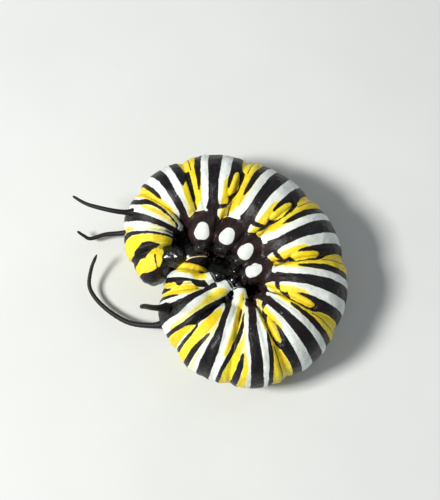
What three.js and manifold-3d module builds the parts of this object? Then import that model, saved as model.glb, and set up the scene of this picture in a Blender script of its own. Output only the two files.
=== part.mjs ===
// Monarch butterfly larva, last instar, at life size: a still model of the curled, resting animal.
// It lies on its left side on the plane z = 0. The back faces outwards all round the curl, and the
// head, the six legs and the ten prolegs meet in the middle. Millimetres, +Z up.
import * as THREE from "three";
import { mergeVertices } from "three/addons/utils/BufferGeometryUtils.js";
import Module from "manifold-3d";

const wasm = await Module();
wasm.setup();

const GAP = 0.3; // clearance between neighbouring pieces
const RIGHT = 1; // the larva's right side faces up
const LEFT = -1;
const degrees = THREE.MathUtils.degToRad;

// The front of the first ring: its place, and the way the body runs from there towards the tail.
const CURL_START = { x: -1.56, y: -0.11, heading: degrees(-101.8) };

// The rings of the trunk from the neck to the tail. length and bend are taken along the middle of the
// body. back, belly and side are the distances from that line to the skin, and height is the line's
// own height above the ground. Where height is less than side, the skin is pressed flat.
const RINGS = [
  { name: "prothorax", length: 1.95, bend: 16, back: 2.4, belly: 1.9, side: 2.7, height: 3.3 },
  { name: "mesothorax", length: 3.0, bend: 38, back: 3.15, belly: 2.9, side: 3.3, height: 3.35 },
  { name: "metathorax", length: 3.3, bend: 38, back: 3.7, belly: 3.5, side: 3.7, height: 3.5 },
  { name: "abdomen_1", length: 2.8, bend: 36, back: 3.95, belly: 3.6, side: 3.85, height: 3.65 },
  { name: "abdomen_2", length: 3.5, bend: 38, back: 4.0, belly: 3.75, side: 3.9, height: 3.7 },
  { name: "abdomen_3", length: 3.9, bend: 35.5, back: 4.0, belly: 3.8, side: 3.9, height: 3.7 },
  { name: "abdomen_4", length: 4.4, bend: 31.5, back: 3.95, belly: 3.75, side: 3.9, height: 3.7 },
  { name: "abdomen_5", length: 4.65, bend: 30, back: 3.85, belly: 3.65, side: 3.85, height: 3.65 },
  { name: "abdomen_6", length: 4.1, bend: 34.5, back: 3.75, belly: 3.5, side: 3.8, height: 3.6 },
  { name: "abdomen_7", length: 2.8, bend: 36.5, back: 3.5, belly: 3.2, side: 3.65, height: 3.45 },
  { name: "abdomen_8", length: 2.1, bend: 30, back: 3.2, belly: 2.6, side: 3.35, height: 3.15 },
  { name: "abdomen_9", length: 1.75, bend: 23.5, back: 2.75, belly: 2.2, side: 2.85, height: 3.05 },
  { name: "abdomen_10", length: 2.2, bend: 24, back: 2.15, belly: 1.9, side: 2.2, height: 2.95 },
];

// Where each ring starts, and the centre that its bend turns round.
let next = CURL_START;
for (const ring of RINGS) {
  ring.turn = degrees(ring.bend);
  ring.radius = ring.length / ring.turn;
  ring.heading = next.heading;
  ring.centre = new THREE.Vector2(
    next.x - ring.radius * Math.sin(next.heading),
    next.y + ring.radius * Math.cos(next.heading),
  );
  const heading = next.heading + ring.turn;
  next = {
    x: ring.centre.x + ring.radius * Math.sin(heading),
    y: ring.centre.y - ring.radius * Math.cos(heading),
    heading,
  };
}

// A smooth reading of one column of RINGS. Each ring's own value holds at its middle.
function column(key, u) {
  const at = THREE.MathUtils.clamp(u - 0.5, 0, RINGS.length - 1);
  const i = Math.min(Math.floor(at), RINGS.length - 2);
  const t = at - i;
  return THREE.MathUtils.lerp(RINGS[i][key], RINGS[i + 1][key], t * t * (3 - 2 * t));
}

// The trunk narrows into the neck, and closes as a blunt dome behind the last ring.
function endTaper(u) {
  const NECK = 0.8;
  const DOME_FROM = RINGS.length - 0.55;
  const DOME_END = 0.3;
  if (u < 1) return THREE.MathUtils.lerp(NECK, 1, Math.sin((u * Math.PI) / 2));
  if (u < DOME_FROM) return 1;
  const t = (u - DOME_FROM) / (RINGS.length - DOME_FROM);
  return THREE.MathUtils.lerp(1, Math.sqrt(1 - t * t), 1 - DOME_END);
}

// How far the skin lies inside its full outline: a deep fold where two rings meet, and two shallow
// creases across each ring. The folds are closed up on the belly and stretched out over the back.
const CREASES = [
  { at: 0, width: 0.11, back: 0.28, belly: 0.5 },
  { at: 0.18, width: 0.06, back: 0.07, belly: 0.16 },
  { at: 0.76, width: 0.06, back: 0.1, belly: 0.2 },
];
function foldDepth(u, angle) {
  const belly = (1 - Math.cos(angle)) / 2;
  let depth = 0;
  for (const crease of CREASES) {
    const away = Math.abs(((u - crease.at + 0.5) % 1) - 0.5);
    const bottom = THREE.MathUtils.lerp(crease.back, crease.belly, belly);
    depth += bottom * Math.exp(-((away / crease.width) ** 2));
  }
  return depth;
}

// A point of the trunk. u counts rings from the neck. angle is 0 on the back, 90 degrees on the right
// side, which faces up, and 180 on the belly. out is 0 on the middle line and 1 on the skin. trim is
// the distance kept from the two planes that bound the ring, and grow is added to the skin.
function trunkPoint(i, t, angle, out = 1, trim = 0, grow = 0) {
  const ring = RINGS[i];
  const u = i + t;
  const taper = endTaper(u);
  const inset = grow - foldDepth(u, angle);
  const depth = column(Math.cos(angle) > 0 ? "back" : "belly", u) * taper + inset;
  const side = column("side", u) * taper + inset;
  const reach = ring.radius + out * depth * Math.cos(angle);
  const z = column("height", u) + out * side * Math.sin(angle);
  const margin = Math.asin(trim / reach);
  const heading = ring.heading + THREE.MathUtils.lerp(margin, ring.turn - margin, t);
  return new THREE.Vector3(
    ring.centre.x + reach * Math.sin(heading),
    ring.centre.y - reach * Math.cos(heading),
    z,
  );
}

// A place beside the trunk's middle line, as distances towards the head, the back and the right side.
function besideTrunk(u, ahead, backward, rightward) {
  const i = Math.min(Math.floor(u), RINGS.length - 1);
  const heading = RINGS[i].heading + RINGS[i].turn * (u - i);
  const centre = trunkPoint(i, u - i, 0, 0);
  return new THREE.Vector3(
    centre.x - ahead * Math.cos(heading) + backward * Math.sin(heading),
    centre.y - ahead * Math.sin(heading) - backward * Math.cos(heading),
    centre.z + rightward,
  );
}

// A geometry as a solid, turned right side out.
function solidOf(geometry) {
  const bare = geometry.clone();
  bare.deleteAttribute("normal");
  bare.deleteAttribute("uv");
  const merged = mergeVertices(bare, 1e-4);
  const triVerts = new Uint32Array(merged.index.array);
  const vertProperties = merged.getAttribute("position").array;
  const solid = new wasm.Manifold(new wasm.Mesh({ numProp: 3, vertProperties, triVerts }));
  if (solid.volume() > 0) return solid;
  for (let k = 0; k < triVerts.length; k += 3) {
    [triVerts[k + 1], triVerts[k + 2]] = [triVerts[k + 2], triVerts[k + 1]];
  }
  return new wasm.Manifold(new wasm.Mesh({ numProp: 3, vertProperties, triVerts }));
}

// A closed cylinder with every vertex moved by place(along, angle, out). along runs from 0 to 1, and
// out is 0 at the middle of an end and 1 on the wall.
function bentCylinder(sides, steps, place) {
  const shape = new THREE.CylinderGeometry(1, 1, 1, sides, steps);
  const position = shape.getAttribute("position");
  const from = new THREE.Vector3();
  for (let k = 0; k < position.count; k++) {
    from.fromBufferAttribute(position, k);
    const to = place(from.y + 0.5, Math.atan2(from.z, from.x), Math.hypot(from.x, from.z));
    position.setXYZ(k, to.x, to.y, to.z);
  }
  return solidOf(shape);
}

// A tapering limb along a smooth line through points. radiusAt gives its radius along the way, and
// spread widens it towards the larva's sides, as soft limbs are.
function limb({ points, radiusAt, spread = 1, sides = 8, steps = 10, from = 0, to = 1 }, grow = 0) {
  const line = new THREE.CatmullRomCurve3(points, false, "centripetal");
  const up = new THREE.Vector3(0, 0, 1);
  return bentCylinder(sides, steps, (along, angle, out) => {
    const t = THREE.MathUtils.lerp(from, to, along);
    const tangent = line.getTangentAt(t);
    const across = new THREE.Vector3().crossVectors(up, tangent).normalize();
    const lift = new THREE.Vector3().crossVectors(tangent, across);
    const radius = out * (radiusAt(t) + grow);
    const past = grow * (2 * along - 1);
    return line
      .getPointAt(t)
      .addScaledVector(tangent, past)
      .addScaledVector(across, radius * Math.cos(angle))
      .addScaledVector(lift, spread * radius * Math.sin(angle));
  });
}

function largest(solid) {
  return solid.decompose().sort((a, b) => b.volume() - a.volume())[0];
}

// What is left of a piece once it is cut clear of its neighbours.
function cutClear(piece, neighbours) {
  return largest(neighbours.reduce((rest, other) => rest.subtract(other), piece));
}

const larva = new THREE.Group();
function addPiece(name, solid, material) {
  const mesh = solid.getMesh();
  const geometry = new THREE.BufferGeometry();
  geometry.setAttribute("position", new THREE.BufferAttribute(mesh.vertProperties, 3));
  geometry.setIndex(new THREE.BufferAttribute(mesh.triVerts, 1));
  geometry.computeVertexNormals();
  const piece = new THREE.Mesh(geometry, material);
  piece.name = name;
  larva.add(piece);
}

const skin = new THREE.MeshStandardMaterial({ color: 0xf2dc3a, roughness: 0.45, metalness: 0 });
const pale = new THREE.MeshStandardMaterial({ color: 0xf2f2ea, roughness: 0.45, metalness: 0 });
const dark = new THREE.MeshStandardMaterial({ color: 0x1c1417, roughness: 0.4, metalness: 0 });
const glossy = new THREE.MeshStandardMaterial({ color: 0x0a0a0b, roughness: 0.15, metalness: 0 });

// The trunk: thirteen rings, each a solid of its own from fold to fold.
const RING_SIDES = 24;
const RING_STATIONS = [0, 0.09, 0.18, 0.3, 0.46, 0.62, 0.76, 0.88, 1];
RINGS.forEach((ring, i) => {
  const steps = RING_STATIONS.length - 1;
  const solid = bentCylinder(RING_SIDES, steps, (along, angle, out) => {
    const t = RING_STATIONS[Math.round(along * steps)];
    const point = trunkPoint(i, t, angle, out, GAP / 2);
    point.z = Math.max(point.z, 0);
    return point;
  });
  addPiece(ring.name, solid, skin);
});

// The whole trunk made larger by the clearance, which limbs and head are cut back to.
const stationsInRing = RING_STATIONS.length - 1;
const trunkClearance = bentCylinder(RING_SIDES, RINGS.length * stationsInRing, (along, angle, out) => {
  const station = Math.round(along * RINGS.length * stationsInRing);
  const i = Math.min(Math.floor(station / stationsInRing), RINGS.length - 1);
  return trunkPoint(i, RING_STATIONS[station - i * stationsInRing], angle, out, 0, GAP);
});

// The head capsule: two rounded halves with a groove between them, lifted a little at the neck.
// Six small lenses stand low on each cheek.
const HEAD = { ahead: 1.45, above: 0.18, depth: 1.35, height: 1.65, width: 1.75, lift: degrees(10) };
function headPoint(forward, upward, rightward) {
  const c = Math.cos(HEAD.lift);
  const s = Math.sin(HEAD.lift);
  const ahead = HEAD.ahead + forward * c - upward * s;
  return besideTrunk(0, ahead, HEAD.above + upward * c + forward * s, rightward);
}
function ellipsoid(radii, place, segments = 20, rows = 12, grow = 0) {
  const shape = new THREE.SphereGeometry(1, segments, rows);
  const position = shape.getAttribute("position");
  for (let k = 0; k < position.count; k++) {
    const to = place(
      position.getX(k) * (radii[0] + grow),
      position.getY(k) * (radii[1] + grow),
      position.getZ(k) * (radii[2] + grow),
    );
    position.setXYZ(k, to.x, to.y, to.z);
  }
  return solidOf(shape);
}
function headCapsule(grow) {
  const GROOVE = 0.16;
  return ellipsoid(
    [HEAD.depth, HEAD.height, HEAD.width],
    (x, y, z) => {
      const groove = GROOVE * Math.exp(-((z / 0.3) ** 2)) * Math.max(0, y / HEAD.height);
      return headPoint(x, y * (1 - groove), z);
    },
    18,
    10,
    grow,
  );
}
function lens(side, k) {
  const LENS = 0.15;
  const turn = degrees(-60 + 42 * k);
  const y = -0.55 + 0.38 * Math.cos(turn);
  const x = 0.5 + 0.38 * Math.sin(turn);
  const z = HEAD.width * Math.sqrt(1 - (x / HEAD.depth) ** 2 - (y / HEAD.height) ** 2);
  const place = (a, b, c) => headPoint(x + a, y + b, side * z + c);
  return ellipsoid([LENS, LENS, LENS], place, 5, 4);
}
let head = headCapsule(0).subtract(trunkClearance);
for (const side of [RIGHT, LEFT]) {
  for (let k = 0; k < 6; k++) head = head.add(lens(side, k));
}
addPiece("head", largest(head), dark);
const headClearance = headCapsule(GAP);

// The mouth: an upper lip, two jaws, the lower lip with its spinneret, and two short antennae.
const MOUTH_PARTS = [
  { name: "labrum", at: [1.2, -1.0, 0], size: [0.45, 0.35, 0.62] },
  { name: "mandible_right", at: [0.85, -1.6, 0.58], size: [0.45, 0.4, 0.42] },
  { name: "mandible_left", at: [0.85, -1.6, -0.58], size: [0.45, 0.4, 0.42] },
  { name: "labium", at: [0.05, -1.8, 0], size: [0.42, 0.42, 0.5] },
  { name: "antenna_right", at: [0.62, -1.35, 1.42], size: [0.3, 0.5, 0.3] },
  { name: "antenna_left", at: [0.62, -1.35, -1.42], size: [0.3, 0.5, 0.3] },
];
const placed = [trunkClearance, headClearance];
for (const { name, at, size } of MOUTH_PARTS) {
  const place = (x, y, z) => headPoint(at[0] + x, at[1] + y, at[2] + z);
  addPiece(name, cutClear(ellipsoid(size, place, 10, 6), placed), glossy);
  placed.push(ellipsoid(size, place, 10, 6, GAP));
}

// A place under a ring. ahead is towards the head, beyond is below the belly, and aside is to the
// right or left of the middle.
function underRing(u, side, [ahead, beyond, aside]) {
  const belly = column("belly", u) * endTaper(u);
  return besideTrunk(u, ahead, -belly - beyond, side * aside);
}

// The six true legs. Each is a soft, rounded lobe on the belly's edge, and three hard tapering joints
// that hook inwards to a claw.
const LEGS = [
  {
    name: "leg_front",
    u: 0.5,
    lobe: 0.78,
    path: [
      [-0.3, -1.0, 1.7],
      [0.1, -0.3, 1.95],
      [0.47, 0.3, 2.0],
      [0.5, 1.2, 1.5],
      [0.55, 2.0, 0.75],
    ],
  },
  {
    name: "leg_middle",
    u: 1.5,
    lobe: 0.85,
    path: [
      [0.2, -1.1, 1.9],
      [0.46, -0.1, 2.1],
      [0.7, 0.85, 1.95],
      [1.2, 1.6, 1.5],
      [1.9, 2.1, 0.8],
    ],
  },
  {
    name: "leg_rear",
    u: 2.5,
    lobe: 0.8,
    path: [
      [-0.5, -0.8, 1.7],
      [-0.13, 0.1, 1.95],
      [0.35, 0.85, 1.75],
      [1.1, 1.3, 1.2],
      [1.9, 1.5, 0.7],
    ],
  },
];
function legRadius(lobe) {
  const THIGH = 0.36;
  const CLAW = 0.12;
  return (t) => {
    const lobeEnd = 1 - Math.max(0, (t - 0.3) / 0.2) ** 2;
    if (t < 0.47) return Math.max(lobe * Math.sqrt(lobeEnd), THIGH);
    return THREE.MathUtils.lerp(THIGH, CLAW, (t - 0.47) / 0.53);
  };
}
for (const side of [RIGHT, LEFT]) {
  for (const { name, u, lobe, path } of LEGS) {
    const spec = {
      points: path.map((at) => underRing(u, side, at)),
      radiusAt: legRadius(lobe),
      steps: 11,
    };
    const label = side === RIGHT ? "right" : "left";
    addPiece(name + "_" + label, cutClear(limb(spec), placed), glossy);
    placed.push(limb(spec, GAP));
  }
}

// Four pairs of prolegs under the third to sixth rings of the abdomen: thick soft lobes that lean
// towards the tail at the root and end in a narrower, hard gripping foot.
const PROLEGS = [
  { name: "proleg_3", u: 5.5, base: 1.05, leans: [-1.4, -0.65, -0.15, 0.15], reach: 1.65 },
  { name: "proleg_4", u: 6.5, base: 1.15, leans: [-1.4, -0.8, -0.45, -0.4], reach: 2.0 },
  { name: "proleg_5", u: 7.5, base: 1.2, leans: [-0.8, -0.6, -0.5, -0.4], reach: 2.15 },
  { name: "proleg_6", u: 8.5, base: 1.25, leans: [-0.5, -0.8, -0.9, -0.9], reach: 2.35 },
];
const SOLE = 0.66;
function prolegRadius(base) {
  return (t) => {
    const cone = THREE.MathUtils.lerp(base, SOLE, THREE.MathUtils.smoothstep(t, 0.5, 0.78));
    return t > 0.99 ? cone * 0.75 : cone;
  };
}
for (const side of [RIGHT, LEFT]) {
  for (const { name, u, base, leans, reach } of PROLEGS) {
    const spec = {
      points: [
        underRing(u, side, [leans[0], -1.3, 1.3]),
        underRing(u, side, [leans[1], 0.25, 1.55]),
        underRing(u, side, [leans[2], 0.6 * reach, 1.65]),
        underRing(u, side, [leans[3], reach, 1.65]),
      ],
      radiusAt: prolegRadius(base),
      spread: 1.1,
      sides: 10,
      steps: 8,
    };
    const label = side === RIGHT ? "right" : "left";
    addPiece(name + "_" + label, cutClear(limb(spec), placed), dark);
    placed.push(limb(spec, GAP));
  }
}

// The hind pair of prolegs on the last ring: hard glossy pads that lie against the head.
const CLASPER = { name: "hind_proleg", u: 12.5, base: 1.05 };
for (const side of [RIGHT, LEFT]) {
  const spec = {
    points: [
      besideTrunk(CLASPER.u, 0.3, -0.6, side * 1.1),
      besideTrunk(CLASPER.u, -0.1, -1.35, side * 1.55),
      besideTrunk(CLASPER.u, -0.7, -2.15, side * 1.65),
    ],
    radiusAt: (t) => CLASPER.base * Math.sqrt(1 - 0.8 * t * t),
    sides: 10,
    steps: 6,
  };
  const label = side === RIGHT ? "right" : "left";
  addPiece(CLASPER.name + "_" + label, cutClear(limb(spec), placed), glossy);
  placed.push(limb(spec, GAP));
}

// Two pairs of fleshy filaments on the back: a long pair on the mesothorax and a short pair on the
// eighth ring of the abdomen. Each is made in a few lengths, and bends as it does in life.
const FILAMENTS = [
  {
    name: "front_filament_right",
    lengths: 3,
    root: 0.36,
    path: [
      [-3.5, -3.8, 5.6],
      [-4.7, -4.1, 6.9],
      [-5.3, -4.45, 8.6],
      [-5.45, -5.0, 10.6],
      [-5.35, -5.6, 12.7],
      [-5.2, -6.15, 14.6],
    ],
  },
  {
    name: "front_filament_left",
    lengths: 4,
    root: 0.36,
    path: [
      [-3.6, -4.2, 2.2],
      [-5.2, -4.35, 1.9],
      [-7.4, -3.85, 1.3],
      [-9.6, -2.3, 0.9],
      [-10.8, -0.7, 1.1],
      [-10.7, 0.85, 1.7],
      [-10.15, 2.1, 2.4],
    ],
  },
  {
    name: "rear_filament_right",
    lengths: 2,
    root: 0.32,
    path: [
      [-6.4, 5.1, 5.0],
      [-8.2, 5.1, 5.4],
      [-10.2, 5.6, 5.3],
      [-11.2, 6.05, 5.1],
      [-12.2, 6.7, 5.0],
    ],
  },
  {
    name: "rear_filament_left",
    lengths: 2,
    root: 0.32,
    path: [
      [-6.6, 4.45, 1.8],
      [-8.3, 4.45, 1.3],
      [-9.6, 4.4, 1.1],
      [-10.9, 4.05, 1.0],
      [-11.5, 4.25, 1.2],
      [-12.1, 4.6, 1.5],
    ],
  },
];
const FILAMENT_TIP = 0.25;
for (const { name, lengths, root, path } of FILAMENTS) {
  const points = path.map((at) => new THREE.Vector3(...at));
  const radiusAt = (t) => THREE.MathUtils.lerp(root, FILAMENT_TIP, t) * (t > 0.999 ? 0.5 : 1);
  const margin = GAP / 2 / new THREE.CatmullRomCurve3(points, false, "centripetal").getLength();
  for (let k = 0; k < lengths; k++) {
    const from = k / lengths + (k > 0 ? margin : 0);
    const to = (k + 1) / lengths - (k < lengths - 1 ? margin : 0);
    const piece = limb({ points, radiusAt, sides: 8, steps: 6, from, to });
    addPiece(name + "_" + (k + 1), cutClear(piece, placed), dark);
  }
}

// The origin is the middle of the whole footprint, at the ground.
const middle = new THREE.Box3().setFromObject(larva).getCenter(new THREE.Vector3());
for (const piece of larva.children) piece.geometry.translate(-middle.x, -middle.y, 0);

export default larva;
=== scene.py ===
import math

import bmesh
import bpy
import numpy as np
from mathutils import Matrix, Vector, noise


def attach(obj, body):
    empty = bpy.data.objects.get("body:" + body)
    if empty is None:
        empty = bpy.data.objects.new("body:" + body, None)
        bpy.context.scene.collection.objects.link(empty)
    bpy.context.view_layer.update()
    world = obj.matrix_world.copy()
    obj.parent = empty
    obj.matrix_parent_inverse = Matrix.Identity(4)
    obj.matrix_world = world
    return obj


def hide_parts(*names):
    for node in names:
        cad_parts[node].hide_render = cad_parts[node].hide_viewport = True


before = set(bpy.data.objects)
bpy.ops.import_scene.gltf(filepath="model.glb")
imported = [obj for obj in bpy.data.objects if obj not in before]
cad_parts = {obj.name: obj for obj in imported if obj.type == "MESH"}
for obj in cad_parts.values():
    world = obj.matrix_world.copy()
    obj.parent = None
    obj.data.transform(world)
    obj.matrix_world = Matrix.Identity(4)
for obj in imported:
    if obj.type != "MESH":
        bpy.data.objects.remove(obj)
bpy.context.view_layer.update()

# The skin. A larva's trunk is one soft tube of skin, gathered into three rings behind the head and ten
# of the abdomen, with eight proleg lobes and six leg lobes drawn out of it. It curls on its left side,
# the back outside and the belly within. Lengths are in millimetres until a piece is finished.
MILLIMETRE = 0.001
RINGS = ("prothorax", "mesothorax", "metathorax") + tuple(f"abdomen_{k}" for k in range(1, 11))
TAIL = len(RINGS)

# Each ring's length and bend along the trunk's middle line, how far the skin stands off that line on
# the back, the belly and the sides, and the line's height over the floor.
LENGTH = np.array((1.95, 3.0, 3.3, 2.8, 3.5, 3.9, 4.4, 4.65, 4.1, 2.8, 2.1, 1.75, 2.2))
BEND = np.radians((16, 38, 38, 36, 38, 35.5, 31.5, 30, 34.5, 36.5, 30, 23.5, 24))
BACK = np.array((2.4, 3.15, 3.7, 3.95, 4.0, 4.0, 3.95, 3.85, 3.75, 3.5, 3.2, 2.75, 2.15))
BELLY = np.array((1.9, 2.9, 3.5, 3.6, 3.75, 3.8, 3.75, 3.65, 3.5, 3.2, 2.6, 2.2, 1.9))
SIDE = np.array((2.7, 3.3, 3.7, 3.85, 3.9, 3.9, 3.9, 3.85, 3.8, 3.65, 3.35, 2.85, 2.2))
HEIGHT = np.array((3.3, 3.35, 3.5, 3.65, 3.7, 3.7, 3.7, 3.65, 3.6, 3.45, 3.15, 3.05, 2.95))

# Places are measured from near the middle of the curl. MIDDLE is the whole larva's centre from there,
# and the frame's origin. Seen from above, the middle line is a run of arcs, one to a ring.
MIDDLE = Vector((-0.105, 0.296, 0))
NECK = np.array((-1.56 - MIDDLE.x, -0.11 - MIDDLE.y))
NECK_HEADING = math.radians(-101.8)
RADIUS = LENGTH / BEND
HEADING = NECK_HEADING + np.concatenate(([0], np.cumsum(BEND)[:-1]))

ring_centres = []
ring_start = NECK
for radius, heading, bend in zip(RADIUS, HEADING, BEND):
    centre = ring_start + radius * np.array((-math.sin(heading), math.cos(heading)))
    ring_centres.append(centre)
    ring_start = centre + radius * np.array((math.sin(heading + bend), -math.cos(heading + bend)))
CENTRE = np.array(ring_centres)

# The folds of every ring: place along the ring, width, depth on the back, depth beneath.
FOLDS = (
    (0, 0.11, 0.25, 0.5),
    (0, 0.045, 0.1, 0.4),
    (0.18, 0.06, 0.07, 0.16),
    (0.76, 0.06, 0.1, 0.2),
    (0.9, 0.025, 0.08, 0.05),
    (0.36, 0.03, 0.03, 0.08),
    (0.575, 0.03, 0.03, 0.08),
)


def smooth(x, low, high):
    """An eased rise from 0 at low to 1 at high."""
    t = np.clip((np.asarray(x, float) - low) / (high - low), 0, 1)
    return t * t * (3 - 2 * t)


def column(values, u):
    """The rings' values at the stations u, eased from the middle of one ring to the next."""
    at = np.clip(u - 0.5, 0, TAIL - 1)
    i = np.minimum(at.astype(int), TAIL - 2)
    return values[i] + (values[i + 1] - values[i]) * smooth(at - i, 0, 1)


def end_taper(u):
    """The trunk's share of its full thickness, less at the neck and rounded off at the tail."""
    dome = np.clip((u - (TAIL - 0.55)) / 0.55, 0, 1)
    neck = 0.8 + 0.2 * np.sin(np.clip(u, 0, 1) * math.pi / 2)
    return neck * (0.3 + 0.7 * np.sqrt(1 - dome * dome))


def fold_depth(u, angle):
    """How deep the folds cut into the trunk."""
    belly = (1 - np.cos(angle)) / 2
    depth = 0
    for at, width, back, under in FOLDS:
        away = np.abs((u - at + 0.5) % 1 - 0.5)
        depth = depth + (back + (under - back) * belly) * np.exp(-((away / width) ** 2))
    return depth


def trunk_point(u, angle, out=1.0):
    """Places on the trunk. u counts rings from the neck, and angle is 0 on the back and 90 degrees on
    the right side, which faces up."""
    u, angle = np.broadcast_arrays(np.asarray(u, float), np.asarray(angle, float))
    i = np.clip(u.astype(int), 0, TAIL - 1)
    depth = np.where(np.cos(angle) > 0, column(BACK, u), column(BELLY, u)) * end_taper(u)
    fold = fold_depth(u, angle)
    heading = HEADING[i] + BEND[i] * (u - i)
    reach = RADIUS[i] + out * (depth - fold) * np.cos(angle)
    x = CENTRE[i, 0] + reach * np.sin(heading)
    y = CENTRE[i, 1] - reach * np.cos(heading)
    z = column(HEIGHT, u) + out * (column(SIDE, u) * end_taper(u) - fold) * np.sin(angle)
    return np.stack((x, y, np.maximum(z, 0)), axis=-1)


def beside_trunk(u, ahead, backward, rightward):
    """A place set off from the middle of the trunk."""
    i = min(int(u), TAIL - 1)
    heading = HEADING[i] + BEND[i] * (u - i)
    step = (
        backward * math.sin(heading) - ahead * math.cos(heading),
        -backward * math.cos(heading) - ahead * math.sin(heading),
        rightward,
    )
    return Vector(trunk_point(u, 0, 0)) + Vector(step)


def under_ring(u, side, offset):
    """A place set off from a ring's belly: ahead, beyond the skin, and aside."""
    ahead, beyond, aside = offset
    belly = float(column(BELLY, np.array(u)) * end_taper(np.array(u)))
    return beside_trunk(u, ahead, -belly - beyond, side * aside)


def soft_line(points, count=60):
    """A smooth run of places through a few points."""
    p = [points[0] * 2 - points[1], *points, points[-1] * 2 - points[-2]]
    line = []
    for a, b, c, d in zip(p, p[1:], p[2:], p[3:]):
        for t in np.linspace(0, 1, count // (len(points) - 1), endpoint=False):
            turn = (2 * a - 5 * b + 4 * c - d) * t * t + (3 * b - a - 3 * c + d) * t**3
            line.append((2 * b + (c - a) * t + turn) / 2)
    line.append(points[-1])
    return line


def add_tube(mesh, sides, steps, place):
    """A grid rolled up by place(along, round), with its seam merged, and its ends where they meet."""
    grid = bmesh.ops.create_grid(mesh, x_segments=steps, y_segments=sides, size=0.5)["verts"]
    for vert in grid:
        vert.co = place(vert.co.x + 0.5, (vert.co.y + 0.5) * math.tau)
    bmesh.ops.remove_doubles(mesh, verts=grid, dist=1e-5)


def add_limb(mesh, line, radius_at, sides=16, steps=30, spread=1.0):
    """A limb round a line. radius_at(t) gives its radius, and is 0 at the root and the end."""
    up = Vector((0, 0, 1))

    def place(along, turn):
        at = along * (len(line) - 1)
        k = min(int(at), len(line) - 2)
        tangent = (line[k + 1] - line[k]).normalized()
        across = up.cross(tangent).normalized()
        r = radius_at(along)
        lift = tangent.cross(across) * (r * spread * math.sin(turn))
        return line[k].lerp(line[k + 1], at - k) + across * (r * math.cos(turn)) + lift

    add_tube(mesh, sides, steps, place)


def placed(name, data):
    made = bpy.data.objects.new(name, data)
    bpy.context.scene.collection.objects.link(made)
    return made


def finished(mesh, name, replaced=()):
    """Turns a mesh in millimetres into a piece in metres that rides on the body."""
    bmesh.ops.scale(mesh, vec=(MILLIMETRE,) * 3, verts=mesh.verts)
    bmesh.ops.recalc_face_normals(mesh, faces=mesh.faces)
    for face in mesh.faces:
        face.smooth = True
    data = bpy.data.meshes.new(name)
    mesh.to_mesh(data)
    mesh.free()
    piece = placed(name, data)
    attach(piece, "root")
    if replaced:
        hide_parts(*replaced)
    return piece


class Shade:
    """A shader socket that takes part in Python expressions, each of which adds its Math nodes."""

    def __init__(self, tree, socket):
        self.tree = tree
        self.socket = socket

    def math(self, operation, *values):
        return self.tree.node("ShaderNodeMath", {"operation": operation}, dict(enumerate(values)))

    def __add__(self, other):
        return self.math("ADD", self, other)

    def __sub__(self, other):
        return self.math("SUBTRACT", self, other)

    def __rsub__(self, other):
        return self.math("SUBTRACT", other, self)

    def __mul__(self, other):
        return self.math("MULTIPLY", self, other)

    __radd__ = __add__
    __rmul__ = __mul__

    def step(self, low, high):
        values = {"Value": self, "From Min": low, "From Max": high}
        return self.tree.node("ShaderNodeMapRange", {"interpolation_type": "SMOOTHSTEP"}, values)


class Finish:
    """One material, built a node at a time. Constants go straight to the shader's sockets."""

    def __init__(self, name, **constants):
        self.material = bpy.data.materials.new(name)
        self.material.use_nodes = True
        self.tree = self.material.node_tree
        self.shader = self.tree.nodes["Principled BSDF"]
        self.feed(**constants)

    def node(self, kind, settings=None, values=None, output=0):
        """Adds a node. Its settings are set first, and then its sockets are given values or links."""
        made = self.tree.nodes.new(kind)
        for key, value in (settings or {}).items():
            setattr(made, key, value)
        for key, value in (values or {}).items():
            self.join(value, made.inputs[key])
        return Shade(self, made.outputs[output])

    def join(self, value, socket):
        if isinstance(value, Shade):
            self.tree.links.new(value.socket, socket)
        else:
            socket.default_value = value

    def feed(self, **values):
        for key, value in values.items():
            self.join(value, self.shader.inputs[key.replace("_", " ")])

    def place(self):
        return self.node("ShaderNodeTexCoord", output="Object")

    def attribute(self, name):
        """A value kept at each vertex of the piece."""
        return self.node("ShaderNodeAttribute", {"attribute_name": name}, output="Fac")

    def noise(self, scale, detail=3.0, roughness=0.55, where=None):
        values = {"Vector": where or self.place(), "Scale": scale, "Detail": detail}
        return self.node("ShaderNodeTexNoise", None, {**values, "Roughness": roughness})

    def mix(self, factor, a, b):
        """A colour from a to b. A Mix node has sockets of three kinds, and these are its colour's."""
        return self.node("ShaderNodeMix", {"data_type": "RGBA"}, {0: factor, 6: a, 7: b}, output=2)

    def colour(self, factor, a, b):
        self.feed(Base_Color=self.mix(factor, a, b))

    def bump(self, height, distance, strength):
        values = {"Height": height, "Distance": distance, "Strength": strength}
        self.feed(Normal=self.node("ShaderNodeBump", None, values))

    def give(self, piece):
        piece.data.materials.append(self.material)


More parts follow.
